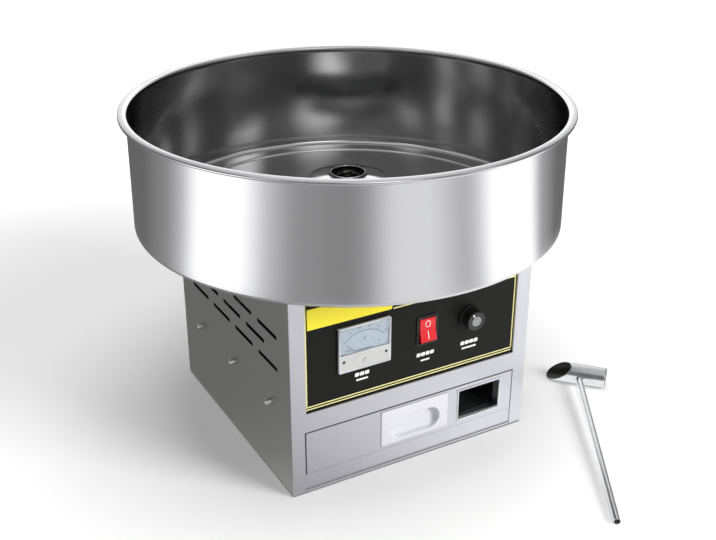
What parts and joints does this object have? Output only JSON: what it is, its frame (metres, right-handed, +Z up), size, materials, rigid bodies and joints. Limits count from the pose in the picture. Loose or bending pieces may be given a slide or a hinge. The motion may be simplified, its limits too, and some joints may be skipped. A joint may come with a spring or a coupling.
{
  "type": "counter-top cotton candy machine",
  "caption": "Electric sugar floss machine: steel cabinet with meter, rocker switch and knob, sugar drawer, wide lift-off bowl over a slotted spinning head, and a sugar scoop lying beside it.",
  "frame": {"origin": "centre of the cabinet's footprint, on the counter", "axes": "+Z up along the spinning head's axis, +X to the right of the control panel, -Y out of the front"},
  "size_m": [0.5757, 0.6334, 0.3975],
  "materials": {
    "brushed_stainless": "fine brushed stainless steel",
    "grey_painted_steel": "satin grey powder coat",
    "polished_stainless": "polished spun stainless steel",
    "cast_aluminium": "turned cast aluminium",
    "galvanised_steel": "zinc plated sheet",
    "plated_fastener": "bright nickel plate",
    "black_panel": "printed satin black panel",
    "black_plastic": "moulded black phenolic",
    "white_plastic": "moulded white ABS",
    "frosted_plastic": "frosted acrylic",
    "dial_card": "printed pale blue dial",
    "clear_window": "clear acrylic",
    "red_plastic": "moulded red polycarbonate",
    "rubber": "moulded black rubber",
    "carbon": "carbon brush",
    "brass": "turned brass",
    "resistance_alloy": "oxidised heating ribbon",
    "laminated_steel": "varnished laminations",
    "circuit_board": "green glass-fibre board"
  },
  "bodies": {
    "cabinet": {"bottom_plate": "grey_painted_steel", "front_frame": "brushed_stainless", "left_side_panel": "grey_painted_steel", "right_side_panel": "grey_painted_steel", "back_panel": "grey_painted_steel", "top_plate": "grey_painted_steel", "bottom_rail": "brushed_stainless", "partition_shelf": "galvanised_steel", "shelf_screws": "plated_fastener", "shelf_nuts": "plated_fastener", "cable_gland": "black_plastic", "drawer_runners": "galvanised_steel", "control_panel": "black_panel", "meter_case": "white_plastic", "meter_dial": "dial_card", "meter_window": "clear_window", "meter_apron": "frosted_plastic", "zero_adjuster": "frosted_plastic", "switch_housing": "black_plastic", "potentiometer": "galvanised_steel", "potentiometer_nut": "plated_fastener", "bowl_gasket": "rubber", "bowl_collar": "polished_stainless", "motor_stator": "laminated_steel", "motor_can": "galvanised_steel", "motor_upper_cap": "cast_aluminium", "motor_lower_cap": "cast_aluminium", "spindle_bearings": "plated_fastener", "motor_plate": "galvanised_steel", "motor_posts": "plated_fastener", "rubber_bushes": "rubber", "brush_holder": "black_plastic", "carbon_brushes": "carbon", "brush_leaf_spring": "brass", "regulator_board": "circuit_board", "heat_sink": "cast_aluminium", "terminal_block": "black_plastic"},
    "drawer": {"drawer_tray": "galvanised_steel", "drawer_front": "brushed_stainless", "drawer_handle": "white_plastic", "drawer_window_trim": "white_plastic"},
    "needle": {"meter_needle": "black_plastic"},
    "rocker": {"switch_rocker": "red_plastic"},
    "regulator_knob": {"knob": "black_plastic", "knob_cap": "cast_aluminium", "potentiometer_shaft": "brass"},
    "pan": {"bowl": "polished_stainless", "bowl_floor": "polished_stainless"},
    "spinner": {"head_base": "cast_aluminium", "slotted_band": "polished_stainless", "heater_ring": "resistance_alloy", "heater_posts": "brass", "head_cover": "cast_aluminium", "spindle": "polished_stainless", "hub_nut": "plated_fastener", "slip_ring_sleeve": "black_plastic", "slip_rings": "brass", "motor_rotor": "laminated_steel"},
    "scoop": {"scoop_head": "polished_stainless", "scoop_handle": "polished_stainless"}
  },
  "joints": [
    {"name": "spinner_spin", "type": "hinge", "parent": "cabinet", "child": "spinner", "pos_m": [0, 0, 0.274], "axis": [0, 0, 1], "continuous": true},
    {"name": "drawer_slide", "type": "slide", "parent": "cabinet", "child": "drawer", "axis": [0, -1, 0], "range_m": [0, 0.18]},
    {"name": "rocker_tilt", "type": "hinge", "parent": "cabinet", "child": "rocker", "pos_m": [0.016, -0.153, 0.1681], "axis": [1, 0, 0], "range_deg": [0, 16]},
    {"name": "knob_turn", "type": "hinge", "parent": "cabinet", "child": "regulator_knob", "pos_m": [0.073, -0.155, 0.171], "axis": [0, 1, 0], "range_deg": [0, 270]},
    {"name": "needle_swing", "type": "hinge", "parent": "cabinet", "child": "needle", "pos_m": [-0.0663, -0.157, 0.155], "axis": [0, 1, 0], "range_deg": [0, 90], "stiffness_Nm_per_rad": 0.0001, "springref_deg": -22.92},
    {"name": "bowl_lift", "type": "slide", "parent": "cabinet", "child": "pan", "axis": [0, 0, 1], "range_m": [0, 0.2]},
    {"name": "scoop_lift", "type": "slide", "parent": "cabinet", "child": "scoop", "axis": [0, 0, 1], "range_m": [0, 0.15]}
  ]
}
